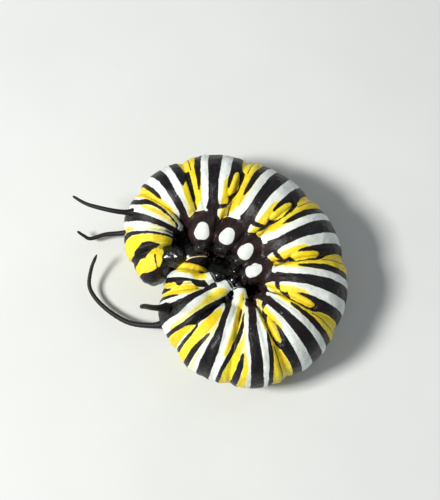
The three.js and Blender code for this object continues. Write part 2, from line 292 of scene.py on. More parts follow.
# Each proleg and leg runs from inside the trunk to its end, through places under its own ring. A
# proleg's row gives its station, its radius at the root, how far each place leans to the head, and how
# far the foot stands beyond the belly. A leg's gives its station, its lobe's radius and its places.
PROLEGS = (
    ("proleg_3", 5.5, 1.1, (-1.4, -0.65, -0.15, 0.15), 1.65),
    ("proleg_4", 6.5, 1.18, (-1.4, -0.8, -0.45, -0.4), 2.0),
    ("proleg_5", 7.5, 1.23, (-0.8, -0.6, -0.5, -0.4), 2.15),
    ("proleg_6", 8.5, 1.28, (-0.5, -0.8, -0.9, -0.9), 2.35),
)
LEGS = (
    ("leg_front", 0.5, 0.52, (
        (-0.3, -1.0, 1.5), (0.1, -0.3, 1.85), (0.47, 0.3, 2.0), (0.5, 1.2, 1.5), (0.55, 2.0, 0.75),
    )),
    ("leg_middle", 1.5, 0.58, (
        (0.2, -1.3, 1.6), (0.46, -0.1, 1.95), (0.7, 0.85, 1.95), (1.2, 1.6, 1.5), (1.9, 2.1, 0.8),
    )),
    ("leg_rear", 2.5, 0.56, (
        (-0.5, -1.1, 1.5), (-0.13, 0.1, 1.8), (0.35, 0.85, 1.75), (1.1, 1.3, 1.2), (1.9, 1.5, 0.7),
    )),
)
# Of a proleg's 61 places the soft lobe has the first 50, and the hard foot begins at the 40th. The
# soft lobe of a leg ends at its third given place.
LOBE_END = 50
FOOT_START = 40
SOLE = 0.84


def proleg_line(u, side, leans, reach):
    beyond = (-1.3, 0.25, 0.6 * reach, reach)
    aside = (1.3, 1.55, 1.65, 1.65)
    return soft_line([under_ring(u, side, at) for at in zip(leans, beyond, aside)])


def rounded(t, start, power=3):
    """A limb's share of its thickness: 1 as far as start, then rounded off to 0 at the end."""
    return math.sqrt(max(0, 1 - max(0, (t - start) / (1 - start)) ** power))


def proleg_radius(base):
    def radius_at(t):
        cone = base + (SOLE - base) * float(smooth(t, 0.5, 0.95))
        return cone * rounded(t, 0.86) * min(1, t * 8)

    return radius_at


def lobe_radius(base):
    def radius_at(t):
        cone = base * (1.5 - 0.5 * float(smooth(t, 0.1, 0.75)))
        return cone * rounded(t, 0.8) * min(1, t * 8)

    return radius_at


lobes = []
for side, label in ((1, "right"), (-1, "left")):
    for name, u, base, leans, reach in PROLEGS:
        line = proleg_line(u, side, leans, reach)[:LOBE_END]
        lobes.append((f"{name}_{label}", "proleg", line, proleg_radius(base), side))
    for name, u, base, path in LEGS:
        line = soft_line([under_ring(u, side, at) for at in path[:3]])
        lobes.append((f"{name}_{label}", "leg", line, lobe_radius(base), side))

body = bmesh.new()
TRUNK_SIDES = 120
END_STEPS = 3
TRUNK_STEPS = TAIL * 26 + 2 * END_STEPS


def trunk_place(along, turn):
    """The first and last few steps of the tube close it at the neck and the tail."""
    step = along * TRUNK_STEPS
    out = min(1, step / END_STEPS, (TRUNK_STEPS - step) / END_STEPS)
    u = TAIL * (step - END_STEPS) / (TRUNK_STEPS - 2 * END_STEPS)
    return Vector(trunk_point(min(max(u, 0), TAIL), turn, out))


add_tube(body, TRUNK_SIDES, TRUNK_STEPS, trunk_place)
for _, _, line, radius_at, _ in lobes:
    add_limb(body, line, radius_at, sides=24, spread=1.1)


HEAD_BACK = 0.18


def collar_place(along, turn):
    """A low roll of yellow skin round the neck, just behind the head."""
    round_neck = along * math.tau
    away = 1.3 + 0.3 * math.cos(turn)
    ahead = 0.42 + 0.24 * math.sin(turn)
    backward = away * math.cos(round_neck) + HEAD_BACK
    return beside_trunk(0, ahead, backward, away * 1.08 * math.sin(round_neck))


add_tube(body, 20, 80, collar_place)
bmesh.ops.recalc_face_normals(body, faces=body.faces)

# The trunk, lobes and collar are fused into one closed skin, as fine as the piece's limit allows.
VOXEL = 0.127
rough = placed("rough", bpy.data.meshes.new("rough"))
body.to_mesh(rough.data)
body.free()
remesh = rough.modifiers.new("join", "REMESH")
remesh.mode = "VOXEL"
remesh.voxel_size = VOXEL
depsgraph = bpy.context.evaluated_depsgraph_get()
joined = bpy.data.meshes.new_from_object(rough.evaluated_get(depsgraph))
bpy.data.objects.remove(rough)

count = len(joined.vertices)
spots = np.zeros(count * 3)
joined.vertices.foreach_get("co", spots)
spots = spots.reshape(-1, 3)
edges = np.zeros(len(joined.edges) * 2, int)
joined.edges.foreach_get("vertices", edges)
edges = edges.reshape(-1, 2)
valence = np.bincount(edges.ravel(), minlength=count)[:, None]


def relax(values, rounds, amount):
    """Draws each vertex's values towards the mean of its neighbours'."""
    for _ in range(rounds):
        total = np.zeros_like(values)
        np.add.at(total, edges[:, 0], values[edges[:, 1]])
        np.add.at(total, edges[:, 1], values[edges[:, 0]])
        values = values + amount * (total / valence - values)
    return values


TYPICAL_RADIUS = 3.5


def trunk_reading(points):
    """The station and angle of each place, and about how far it stands off the trunk."""
    nearest = np.full(len(points), np.inf)
    station = np.zeros(len(points))
    angle = np.zeros(len(points))
    for i in range(TAIL):
        away = points[:, :2] - CENTRE[i]
        turned = np.arctan2(away[:, 0], -away[:, 1]) - HEADING[i]
        t = ((turned + math.pi) % math.tau - math.pi) / BEND[i]
        u = i + np.clip(t, 0, 1)
        reach = np.hypot(away[:, 0], away[:, 1]) - RADIUS[i]
        depth = np.where(reach > 0, column(BACK, u), column(BELLY, u)) * end_taper(u)
        rise = (points[:, 2] - column(HEIGHT, u)) / (column(SIDE, u) * end_taper(u))
        off = np.hypot(reach / depth, rise) + np.maximum(0, np.abs(t - 0.5) - 0.5) * 3
        better = off < nearest
        nearest = np.where(better, off, nearest)
        station = np.where(better, u, station)
        angle = np.where(better, np.arctan2(rise, reach / depth), angle)
    return station, angle, (nearest - 1) * TYPICAL_RADIUS


def limb_reading(points, line, radius_at):
    """How far along a limb each place is, and how far it stands off the limb's skin."""
    joints = np.array([tuple(p) for p in line])
    away = np.linalg.norm(points[:, None] - joints[None], axis=2)
    k = away.argmin(axis=1)
    radii = np.array([radius_at(v) for v in np.linspace(0, 1, len(line))])
    return k / (len(line) - 1), away[np.arange(len(points)), k] - radii[k]


# Every vertex learns where it lies on the trunk, which lobe is nearest and how far along it, and how
# deep it lies in a proleg's white spot, which stands a part of the way along the lobe's outer face.
FAR = 9.0
LOBE_MARGIN = 1.8
SPOT_RADIUS = 0.68
SPOT_ALONG = 0.56
SPOT_OUTWARD = 1.2
spots = relax(spots, 4, 0.6)
station, angle, off_trunk = trunk_reading(spots)
lobe_near = np.full(count, FAR)
lobe_along = np.zeros(count)
is_proleg = np.zeros(count, bool)
white_spot = np.full(count, -FAR)
for name, kind, line, radius_at, side in lobes:
    low = np.min([tuple(p) for p in line], axis=0) - LOBE_MARGIN
    high = np.max([tuple(p) for p in line], axis=0) + LOBE_MARGIN
    close = np.flatnonzero(((spots > low) & (spots < high)).all(axis=1))
    along, off = limb_reading(spots[close], line, radius_at)
    mine = off < lobe_near[close]
    chosen = close[mine]
    lobe_near[chosen] = off[mine]
    lobe_along[chosen] = along[mine]
    is_proleg[chosen] = kind == "proleg"
    if kind == "proleg":
        middle = line[int(SPOT_ALONG * len(line))] + Vector((0, 0, side * SPOT_OUTWARD))
        down = np.array(tuple((line[40] - line[20]).normalized()))
        away = spots[close] - np.array(tuple(middle))
        lengthwise = away @ down
        across = np.linalg.norm(away - lengthwise[:, None] * down, axis=1)
        corners = 0.07 * np.cos(3 * np.arctan2(lengthwise, across) - 2)
        spot = SPOT_RADIUS + corners - np.hypot(lengthwise * 0.9, across)
        white_spot[close] = np.maximum(white_spot[close], spot)

# Away from the lobes the skin is brought back to the trunk's true outline, and where a lobe leaves the
# trunk the corner between them is rounded off.
free = smooth(lobe_near, 0.15, 0.5) * (np.abs(off_trunk) < 0.9)
free = free * (station > 0.03) * (station < TAIL - 0.02)
spots = spots + (trunk_point(station, angle) - spots) * free[:, None]
corner = smooth(0.6 - np.maximum(np.abs(lobe_near), np.abs(off_trunk)), 0, 0.35)
spots = relax(spots, 16, 0.6 * corner[:, None])
spots = relax(spots, 2, 0.5)

# The markings are bands across every ring, alike on both sides. A band is a few readings of (angle in
# degrees, start, end), and start and end count in rings from the ring's own front fold. The typical
# bands are those of the second to sixth rings of the abdomen.
TYPICAL_BLACK = (
    ((0, 0.04, 0.185), (30, 0.035, 0.185), (45, 0.02, 0.18), (55, -0.01, 0.18), (60, -0.04, 0.18),
     (66, -0.085, 0.175), (75, -0.1, 0.175), (85, -0.07, 0.17), (92, 0.02, 0.16), (98, 0.13, 0.14)),
    ((62, -0.06, -0.02), (75, -0.11, -0.02), (90, -0.105, -0.05), (98, -0.1, -0.03), (104, -0.07, 0.04),
     (110, -0.03, 0.065), (117, -0.005, 0.06), (125, 0.015, 0.065), (138, 0.08, 0.12), (150, 0.17, 0.22)),
    ((0, 0.36, 0.56), (30, 0.35, 0.555), (60, 0.35, 0.575), (88, 0.36, 0.575), (105, 0.345, 0.585),
     (115, 0.33, 0.6), (123, 0.3, 0.64), (130, 0.24, 0.7)),
    ((0, 0.65, 0.76), (30, 0.66, 0.77), (45, 0.68, 0.785), (60, 0.7, 0.81), (75, 0.715, 0.815),
     (90, 0.74, 0.82), (100, 0.78, 0.82), (105, 0.805, 0.812)),
    ((119, 0.04, 0.08), (122, 0.06, 0.2), (125, 0.1, 0.36), (128, 0.19, 0.4)),
)
# A yellow band opens with how softly its edges fade, in millimetres.
TYPICAL_YELLOW = (
    (0.14, (0, 0.7, 1.1), (45, 0.7, 1.1), (60, 0.7, 1.12), (90, 0.72, 1.14), (103, 0.74, 1.2),
     (118, 0.79, 1.2)),
    (0.22, (78, 0.1, 0.19), (86, 0.1, 0.24), (100, 0.0, 0.25), (123, 0.0, 0.24), (138, 0.06, 0.26),
     (150, 0.17, 0.32)),
    (0.3, (98, 0.74, 1.0), (112, 0.79, 1.04), (125, 0.86, 1.08), (135, 0.94, 1.12), (146, 1.04, 1.2)),
)
# The pad of thick yellow skin at the front fold of each of those rings.
PAD = (
    (65, 0.015, 0.035), (69, -0.01, 0.065), (76, -0.03, 0.085), (86, -0.042, 0.095), (94, -0.04, 0.105),
    (100, -0.025, 0.105), (104, 0.005, 0.085), (108, 0.04, 0.055),
)
# How far some rings' markings stand behind the typical place.
TYPICAL_SHIFT = {"abdomen_2": 0.035, "abdomen_3": 0.01, "abdomen_6": 0.025}
# The rings towards both ends have markings of their own.
OWN_BLACK = {
    "prothorax": (
        ((0, -0.2, 0.08), (20, -0.2, 0.07), (32, -0.2, -0.02)),
        ((0, 0.34, 0.56), (20, 0.37, 0.58), (30, 0.41, 0.63), (45, 0.45, 0.67), (60, 0.48, 0.7),
         (95, 0.55, 0.69), (105, 0.6, 0.9), (120, 0.6, 0.9), (135, 0.52, 0.84), (150, 0.46, 0.8)),
        ((57, 0.5, 0.7), (61, 0.5, 0.79), (67, 0.5, 0.88), (72, 0.5, 0.89), (76, 0.5, 0.7)),
        ((95, 0.56, 0.7), (99, 0.57, 0.9), (108, 0.6, 0.93), (125, 0.6, 0.95), (150, 0.5, 0.95)),
        ((0, 0.76, 0.92), (20, 0.78, 0.95), (30, 0.82, 0.97), (45, 0.88, 0.96), (61, 0.93, 0.95)),
    ),
    "mesothorax": (
        ((0, 0.05, 0.13), (30, 0.07, 0.15), (45, 0.09, 0.165), (60, 0.12, 0.18), (74, 0.17, 0.19)),
        ((0, 0.14, 0.52), (15, 0.19, 0.54), (30, 0.26, 0.55), (60, 0.29, 0.58), (75, 0.28, 0.51),
         (90, 0.22, 0.44), (105, 0.15, 0.36), (120, 0.06, 0.24), (135, -0.08, 0.11), (150, -0.25, -0.08)),
        ((0, 0.69, 0.77), (30, 0.735, 0.81), (45, 0.75, 0.85), (60, 0.78, 0.9), (75, 0.78, 1.03),
         (90, 0.78, 1.1), (105, 0.78, 1.11), (120, 0.77, 1.09), (135, 0.73, 1.02), (150, 0.7, 1.0)),
    ),
    "metathorax": (
        ((0, 0.0, 0.07), (30, 0.025, 0.105), (60, 0.04, 0.11), (75, 0.02, 0.11)),
        ((0, 0.225, 0.32), (30, 0.245, 0.35), (45, 0.26, 0.36), (60, 0.3, 0.395), (72, 0.355, 0.42),
         (83, 0.41, 0.425)),
        ((0, 0.47, 0.68), (60, 0.49, 0.72), (75, 0.5, 0.7), (90, 0.485, 0.665), (105, 0.42, 0.61),
         (120, 0.33, 0.57), (135, 0.14, 0.47), (150, 0.0, 0.25)),
        ((0, 0.78, 0.84), (30, 0.81, 0.875), (45, 0.85, 0.93), (60, 0.9, 1.0), (75, 0.96, 1.08),
         (90, 1.01, 1.18), (105, 1.08, 1.2), (120, 1.12, 1.2), (150, 1.14, 1.2)),
    ),
    "abdomen_1": (
        ((0, 0.0, 0.11), (30, 0.055, 0.18), (45, 0.1, 0.22), (60, 0.16, 0.235), (67, 0.21, 0.22)),
        ((0, 0.345, 0.57), (30, 0.36, 0.58), (60, 0.375, 0.61), (75, 0.35, 0.615), (85, 0.33, 0.62),
         (100, 0.36, 0.65), (107, 0.37, 0.7), (118, 0.39, 0.79), (130, 0.41, 0.89), (140, 0.45, 1.0),
         (150, 0.5, 1.1)),
        ((0, 0.63, 0.71), (30, 0.67, 0.755), (45, 0.71, 0.805), (60, 0.75, 0.85), (75, 0.79, 0.885),
         (88, 0.86, 0.905), (94, 0.895, 0.9)),
    ),
    "abdomen_7": (
        ((0, 0.1, 0.25), (30, 0.1, 0.255), (45, 0.08, 0.255), (60, 0.03, 0.255), (66, -0.02, 0.255),
         (75, 0.0, 0.25), (85, 0.15, 0.25), (91, 0.23, 0.24)),
        ((62, -0.06, 0.03), (75, -0.06, 0.06), (95, -0.055, 0.06), (115, -0.045, 0.065), (122, 0.0, 0.06),
         (130, 0.05, 0.12), (140, 0.16, 0.24), (150, 0.32, 0.4)),
        ((0, 0.45, 0.65), (45, 0.43, 0.65), (60, 0.42, 0.645), (75, 0.45, 0.68), (90, 0.485, 0.72),
         (105, 0.5, 0.77), (120, 0.53, 0.85), (135, 0.61, 0.97), (150, 0.73, 1.15)),
        ((0, 0.81, 0.875), (30, 0.82, 0.885), (45, 0.83, 0.915), (60, 0.84, 0.94), (75, 0.87, 0.95),
         (87, 0.93, 0.945)),
    ),
    "abdomen_8": (
        ((0, 0.2, 0.33), (30, 0.235, 0.375), (45, 0.24, 0.39), (58, 0.14, 0.36), (66, 0.14, 0.31),
         (75, 0.14, 0.28), (90, 0.15, 0.29), (105, 0.19, 0.34), (120, 0.27, 0.43), (130, 0.33, 0.5),
         (138, 0.4, 0.72)),
        ((0, 0.49, 0.77), (30, 0.57, 0.83), (45, 0.6, 0.86), (75, 0.64, 0.86), (90, 0.68, 0.9),
         (105, 0.7, 0.915), (120, 0.71, 0.93), (135, 0.7, 0.945), (150, 0.62, 0.96)),
    ),
    "abdomen_9": (
        ((0, 0.14, 0.39), (15, 0.14, 0.39), (30, 0.125, 0.345), (45, 0.14, 0.3), (60, 0.17, 0.31),
         (75, 0.18, 0.32), (105, 0.24, 0.4), (120, 0.26, 0.44), (135, 0.24, 0.46), (145, 0.2, 0.5)),
        ((0, 0.93, 1.24), (30, 0.92, 1.21), (45, 0.83, 1.14), (56, 0.76, 1.17), (61, 0.72, 1.19),
         (66, 0.66, 1.08), (75, 0.64, 1.0), (85, 0.69, 0.97), (95, 0.79, 0.945), (105, 0.85, 0.91),
         (112, 0.88, 0.89)),
    ),
    "abdomen_10": (
        ((73, 0.64, 0.7), (76, 0.44, 0.66), (79, 0.26, 0.56), (83, 0.14, 0.38), (86, 0.13, 0.16)),
        ((0, 0.47, 1.2), (30, 0.5, 1.2), (45, 0.61, 1.2), (60, 0.67, 1.2), (80, 0.7, 1.2),
         (90, 0.62, 1.2), (100, 0.4, 1.2), (112, 0.18, 1.2), (124, -0.05, 1.2), (180, -0.3, 1.2)),
    ),
}
OWN_YELLOW = {
    "prothorax": (
        (0.3, (20, -0.1, 0.08), (45, -0.1, 0.16), (60, -0.1, 0.25), (80, -0.1, 0.32), (95, -0.1, 0.42),
         (105, -0.1, 0.6), (125, -0.1, 0.6), (150, -0.1, 0.35)),
        (0.12, (0, 0.5, 0.78), (30, 0.6, 0.84), (45, 0.62, 0.9), (60, 0.7, 0.96), (75, 0.86, 1.18),
         (92, 0.86, 1.2), (116, 0.86, 1.1)),
        (0.12, (0, 0.93, 1.07), (30, 0.93, 1.08), (50, 0.9, 1.12), (62, 0.9, 1.15), (76, 0.9, 1.2)),
        (0.3, (72, 0.69, 0.9), (98, 0.69, 0.9)),
    ),
    "mesothorax": (
        (0.15, (0, 0.75, 0.99), (30, 0.8, 1.0), (45, 0.82, 1.0), (60, 0.86, 1.04), (75, 0.9, 1.04)),
        (0.5, (30, 0.67, 0.78), (75, 0.69, 0.8), (90, 0.64, 0.8), (105, 0.55, 0.8), (120, 0.32, 0.8),
         (135, 0.15, 0.75), (160, 0.0, 0.7)),
    ),
    "metathorax": (
        (0.12, (0, 0.07, 0.24), (30, 0.1, 0.26), (60, 0.1, 0.31), (75, 0.1, 0.37), (90, 0.1, 0.42),
         (105, 0.1, 0.42), (119, 0.16, 0.3)),
        (0.25, (0, 0.36, 0.4), (30, 0.36, 0.4), (60, 0.4, 0.42), (80, 0.42, 0.48), (95, 0.4, 0.48)),
        (0.14, (0, 0.83, 1.02), (30, 0.87, 1.07), (45, 0.92, 1.11), (60, 0.99, 1.16), (75, 1.07, 1.22),
         (86, 1.18, 1.24)),
        (0.3, (55, 0.8, 0.9), (75, 0.82, 0.98), (90, 0.84, 1.06), (105, 0.83, 1.1), (120, 0.78, 1.14),
         (155, 0.65, 1.15)),
    ),
    "abdomen_1": (
        (0.22, (0, 0.1, 0.27), (30, 0.17, 0.3), (45, 0.21, 0.33), (75, 0.2, 0.26), (120, 0.2, 0.25),
         (150, 0.22, 0.36)),
        (0.14, (0, 0.7, 1.1), (30, 0.74, 1.08), (45, 0.78, 1.06), (60, 0.83, 1.02), (75, 0.87, 1.04),
         (95, 0.88, 1.05)),
        (0.3, (88, 0.82, 1.04), (105, 0.84, 1.07), (120, 0.92, 1.1), (140, 1.05, 1.14)),
    ),
    "abdomen_7": (
        (0.3, (62, -0.03, 0.08), (75, -0.03, 0.2), (90, -0.03, 0.26), (105, -0.03, 0.33),
         (120, 0.04, 0.42), (135, 0.18, 0.55), (150, 0.4, 0.68)),
        (0.14, (0, 0.86, 1.16), (30, 0.87, 1.17), (60, 0.9, 1.15), (90, 0.92, 1.18), (105, 0.9, 1.2),
         (118, 0.98, 1.26)),
        (0.35, (100, 0.92, 1.2), (118, 1.02, 1.3), (132, 1.15, 1.34)),
    ),
    "abdomen_8": (
        (0.3, (57, 0.34, 0.44), (66, 0.3, 0.48), (75, 0.27, 0.52), (90, 0.26, 0.54), (105, 0.3, 0.59),
         (120, 0.38, 0.64), (133, 0.47, 0.7)),
        (0.22, (0, 0.9, 1.16), (30, 0.93, 1.12), (44, 0.98, 1.12)),
        (0.5, (78, 0.96, 1.1), (100, 0.96, 1.14), (120, 1.0, 1.2)),
    ),
    "abdomen_9": (
        (0.14, (0, 0.37, 0.95), (30, 0.33, 0.94), (60, 0.29, 0.76), (75, 0.3, 0.68), (105, 0.34, 0.88),
         (120, 0.37, 0.96), (140, 0.38, 0.98)),
    ),
    "abdomen_10": (
        (0.12, (0, 0.2, 0.6), (30, 0.18, 0.62), (50, 0.12, 0.7), (62, 0.04, 0.76), (80, -0.06, 0.74),
         (95, -0.1, 0.66), (110, -0.16, 0.3), (126, -0.16, 0.0)),
    ),
}
MILLIMETRES_PER_DEGREE = 0.065
THINNEST = 0.16
degrees = np.degrees(np.abs(angle))
ring_of = np.clip(station.astype(int), 0, TAIL - 1)
reach = np.where(np.cos(angle) > 0, BACK[ring_of], BELLY[ring_of]) * np.cos(angle)
per_ring = (RADIUS[ring_of] + reach) * BEND[ring_of]


def band_depth(start_ring, band):
    """How deep each vertex lies within a band, in millimetres, and below 0 outside. A band narrower
    than THINNEST is drawn in, so that its tip fades and doesn't break up."""
    at, start, end = np.array(band).T
    from_start = station - start_ring - np.interp(degrees, at, start)
    from_end = start_ring + np.interp(degrees, at, end) - station
    before = (degrees - at[0]) * MILLIMETRES_PER_DEGREE if at[0] > 0 else FAR
    after = (at[-1] - degrees) * MILLIMETRES_PER_DEGREE if at[-1] < 180 else FAR
    thin = np.clip(THINNEST - (from_start + from_end) * per_ring, 0, THINNEST)
    inside = np.minimum(from_start, from_end) * per_ring - 0.5 * thin
    return np.minimum(inside, np.minimum(before, after))


black = np.full(count, -FAR)
yellow = np.zeros(count)
pads = np.full(count, -FAR)
for i, ring in enumerate(RINGS):
    front = i + TYPICAL_SHIFT.get(ring, 0)
    for band in OWN_BLACK.get(ring, TYPICAL_BLACK):
        black = np.maximum(black, band_depth(front, band))
    for softness, *band in OWN_YELLOW.get(ring, TYPICAL_YELLOW):
        yellow = np.maximum(yellow, smooth(band_depth(front, band), -softness, softness))
    if ring not in OWN_BLACK:
        pads = np.maximum(pads, band_depth(front, PAD))
black = np.minimum(black, -pads)
yellow = np.maximum(yellow, smooth(pads, -0.12, 0.08))

# A fine black line runs over the back behind every rear band. The finish draws it, as it is finer
# than the mesh, from how far each vertex lies to either side of it.
line_at = np.interp(degrees, (0, 30, 60, 75), (0.895, 0.9, 0.906, 0.9))
lined = (station > 3) & (station < 9) & (degrees < 66)
fine_line = np.where(lined, (station % 1 - line_at) * per_ring, FAR)

# Low on the sides the skin turns plum brown, and so are the proleg lobes, each with a white spot on
# its outer face. The leg lobes are white, shaded with yellow, with a dark ring near the end.
low_line = np.interp(
    station % 1,
    (0, 0.12, 0.24, 0.32, 0.4, 0.56, 0.66, 0.74, 0.9, 1),
    (143, 148, 150, 140, 124, 124, 134, 138, 139, 143),
)
tail_line = np.interp(station, (9, 10, 10.8, 11.3, 12, 12.4), (149, 150, 150, 138, 137, 96))
front_line = np.interp(station, (0.2, 0.5, 1, 1.5, 2, 2.5, 3), (180, 150, 138, 150, 140, 150, 146))
low_line = np.where(station < 3, front_line, np.where(station < 9.35, low_line, tail_line))
low_line = np.where((station > 3.4) & (station < 4), np.maximum(low_line, 140), low_line)
black = np.maximum(black, (degrees - low_line) * MILLIMETRES_PER_DEGREE)
plum = smooth(degrees, 95, 150) * smooth(station, 2.6, 3.2) * (1 - smooth(station, 10, 11))

on_lobe = lobe_near < np.minimum(0.45, off_trunk + 0.25)
black = np.where(on_lobe & is_proleg, np.maximum(black, 0.35 - lobe_near * 0.6), black)
plum = np.where(on_lobe & is_proleg, 1.0, plum)
black = np.where(white_spot > -0.5, np.minimum(black, -white_spot), black)
yellow = np.where(white_spot > -0.3, 0, yellow)
leg_lobe = ~is_proleg & (lobe_near < 1)
in_lobe = np.minimum(0.14 - lobe_near, (lobe_along - 0.45) * 3)
leg_ring = np.minimum(0.08 - np.abs(lobe_along - 0.86) * 1.7, 0.3 - lobe_near)
black = np.where(leg_lobe, np.minimum(black, -in_lobe), black)
black = relax(np.clip(black, -0.5, 0.5)[:, None], 2, 0.5)[:, 0]
black = np.where(leg_lobe, np.maximum(black, leg_ring), black)
yellow = np.where(leg_lobe & (in_lobe > -0.2), yellow * (1 - smooth(lobe_along, 0.5, 0.75)), yellow)

neck = beside_trunk(0, 0, 0, 0)
ahead_of_neck = (spots - np.array(neck)) @ np.array(beside_trunk(0, 1, 0, 0) - neck)
collar = (station < 0.02) & (ahead_of_neck > 0.12)
yellow = np.where(collar, 1.0, yellow)
black = np.where(collar, np.minimum(black, 0.1 - ahead_of_neck), black)

# The yellow pads at the folds stand out a little, with a crease round each, and so does a tongue of
# skin low on each of the middle rings. The whole skin is slightly uneven, and painted shade darkens
# the folds brown low on the sides. A hard black plate covers the last ring's end.
TONGUE = ((124, 0.08, 0.26), (135, 0.1, 0.33), (150, 0.2, 0.3))
for i in range(4, 9):
    pads = np.maximum(pads, band_depth(i, TONGUE))
swell = 0.16 * smooth(pads, -0.05, 0.3) - 0.14 * np.exp(-(((pads + 0.08) / 0.09) ** 2))
plate = smooth(band_depth(TAIL - 1, OWN_BLACK["abdomen_10"][1]), -0.1, 0.1)
# Painted shade: along each fold low on the sides, the pale skin is marked to be darkened brown, as if in
# the crease's shadow.
off_fold = (station - np.round(station)) * per_ring
crease = np.exp(-((off_fold / 0.12) ** 2)) * smooth(degrees, 85, 125) * (station > 0.5)
crease = crease * smooth(lobe_near, 0, 0.3) * (white_spot < -0.3)
joined.vertices.foreach_set("co", spots.ravel())
joined.update()
normals = np.zeros(count * 3)
joined.vertex_normals.foreach_get("vector", normals)
uneven = np.array([noise.noise(Vector(p) * 1.1) + 0.5 * noise.noise(Vector(p) * 2.6) for p in spots])
spots = spots + normals.reshape(-1, 3) * (swell + 0.05 * uneven)[:, None]
spots[:, 2] = np.maximum(spots[:, 2], 0)
joined.vertices.foreach_set("co", spots.ravel())
joined.update()

fields = {"black": black, "yellow": yellow, "plum": plum, "fine_line": fine_line, "plate": plate}
fields.update(crease=crease, station=station, backward=np.cos(angle), rightward=np.sin(angle))
for key, values in fields.items():
    joined.attributes.new(key, "FLOAT", "POINT").data.foreach_set("value", values)
skin = bmesh.new()
skin.from_mesh(joined)
bpy.data.meshes.remove(joined)
covered = [name for name, kind, *_ in lobes if kind == "proleg"]
skin_piece = finished(skin, "skin", list(RINGS) + covered)

banded = Finish(
    "banded_skin",
    Subsurface_Weight=0.12,
    Subsurface_Radius=(0.0006, 0.0004, 0.0003),
    Subsurface_Scale=0.6,
    Specular_IOR_Level=0.28,
)
waver = banded.noise(1500, 3.0) - 0.5
fine = banded.noise(5200, 2.0) - 0.5
cloud = banded.noise(420, 3.0)
round_body = banded.node(
    "ShaderNodeCombineXYZ",
    None,
    {
        0: banded.attribute("station") * 9.0,
        1: banded.attribute("backward") * 2.2,
        2: banded.attribute("rightward") * 2.2,
    },
)
streaks = banded.noise(2.2, 4.0, 0.6, round_body)
black_depth = banded.attribute("black") + waver * 0.15 + fine * 0.05
off_line = banded.attribute("fine_line") + waver * 0.06
in_line = 0.045 - off_line.math("ABSOLUTE", off_line)
is_black = black_depth.math("MAXIMUM", black_depth, in_line + waver * 0.03).step(-0.03, 0.03)
is_yellow = (banded.attribute("yellow") + waver * 0.35 + (streaks - 0.5) * 0.3).step(0.14, 0.88)
white = banded.mix(cloud.step(0.35, 0.75), (0.80, 0.84, 0.81, 1), (0.62, 0.66, 0.61, 1))
gold = banded.mix((cloud + streaks * 0.6).step(0.55, 1.05), (0.82, 0.70, 0.02, 1), (0.74, 0.50, 0.003, 1))
deepening = (banded.attribute("yellow") + waver * 0.5).step(0.4, 1.08)
lemon = banded.mix(deepening, (0.84, 0.82, 0.26, 1), gold)
# Painted shade: the pale colours turn dark brown in the folds' creases.
creased = (banded.attribute("crease") + waver * 0.5).step(0.35, 1.1)
pale = banded.mix(creased, banded.mix(is_yellow, white, lemon), (0.10, 0.05, 0.008, 1))
inky_streaks = (streaks + waver * 0.5).step(0.4, 0.8)
inky = banded.mix(inky_streaks, (0.004, 0.003, 0.004, 1), (0.017, 0.012, 0.014, 1))
plum_streaks = (streaks + waver * 0.6).step(0.3, 0.8)
plum_tone = banded.mix(plum_streaks, (0.010, 0.005, 0.006, 1), (0.040, 0.020, 0.021, 1))
dark = banded.mix(banded.attribute("plum"), inky, plum_tone)
banded.colour(is_black, pale, dark)
banded.feed(Roughness=0.48 + fine * 0.2 - is_black * 0.05 - banded.attribute("plate") * 0.2)
pebble_values = {"Vector": banded.place(), "Scale": 7000.0}
pebbles = banded.node("ShaderNodeTexVoronoi", {"feature": "SMOOTH_F1"}, pebble_values)
wrinkles = streaks * (1.6 - banded.attribute("plum") * 1.2)
relief = banded.noise(1800, 4.0, 0.5) * 0.4 + pebbles * 0.3 + wrinkles - is_black * 0.15
banded.bump(relief, 0.00006, 0.7)
banded.give(skin_piece)

# The spiracles: nine pairs of small black breathing pores, one pair on the first ring and one on each
# of the first eight rings of the abdomen. Each is an oval rim of hard skin with a slit down it. A
# pore that would press on the floor is left out.
PORE_STATIONS = (0.63, 3.43, 4.45, 5.44, 6.44, 7.44, 8.45, 9.56, 10.78)
PORE_ANGLE = math.radians(96)
ON_FLOOR = 0.06
pores = bmesh.new()


def skin_frame(u, turn):
    """A place on the trunk's skin, with the ways ahead, round the trunk and outward."""
    spot = Vector(trunk_point(u, turn))
    ahead = (spot - Vector(trunk_point(u + 0.01, turn))).normalized()
    across = (Vector(trunk_point(u, turn + 0.01)) - spot).normalized()
    outward = ahead.cross(across).normalized()
    outward *= math.copysign(1, outward.dot(spot - Vector(trunk_point(u, 0, 0))))
    return spot, ahead, across, outward


for u in PORE_STATIONS:
    for turn in (PORE_ANGLE, -PORE_ANGLE):
        spot, ahead, across, outward = skin_frame(u, turn)
        if spot.z < ON_FLOOR:
            continue
        rim = bmesh.ops.create_uvsphere(pores, u_segments=28, v_segments=18, radius=1)["verts"]
        for vert in rim:
            x, y, z = vert.co
            raised = z * 0.07 - 0.06 * math.exp(-((x / 0.3) ** 2) - (y / 0.8) ** 4) * max(0, z)
            vert.co = spot + ahead * (0.12 * x) + across * (0.2 * y) + outward * raised
pore_piece = finished(pores, "spiracles")
hard_black = Finish("hard_black", Roughness=0.24, Coat_Weight=0.25, Coat_Roughness=0.12)
grain = hard_black.noise(3200, 4.0)
hard_black.colour(grain.step(0.35, 0.8), (0.004, 0.004, 0.005, 1), (0.016, 0.012, 0.012, 1))
hard_black.bump(grain, 0.00006, 0.7)
hard_black.give(pore_piece)

# The prolegs' feet: hard glossy black pads on the ends of the eight lobes, each with a row of tiny
# hooks along the inner edge of its sole, and the hind pair, whose pads cover the whole lobe.
CLASPER_PATH = ((0.3, -0.6, 1.1), (-0.1, -1.35, 1.55), (-0.7, -2.15, 1.65))
feet = bmesh.new()
hooks = bmesh.new()


def hook_radius(t):
    return 0.045 * (1 - t) * min(1, 8 * t)


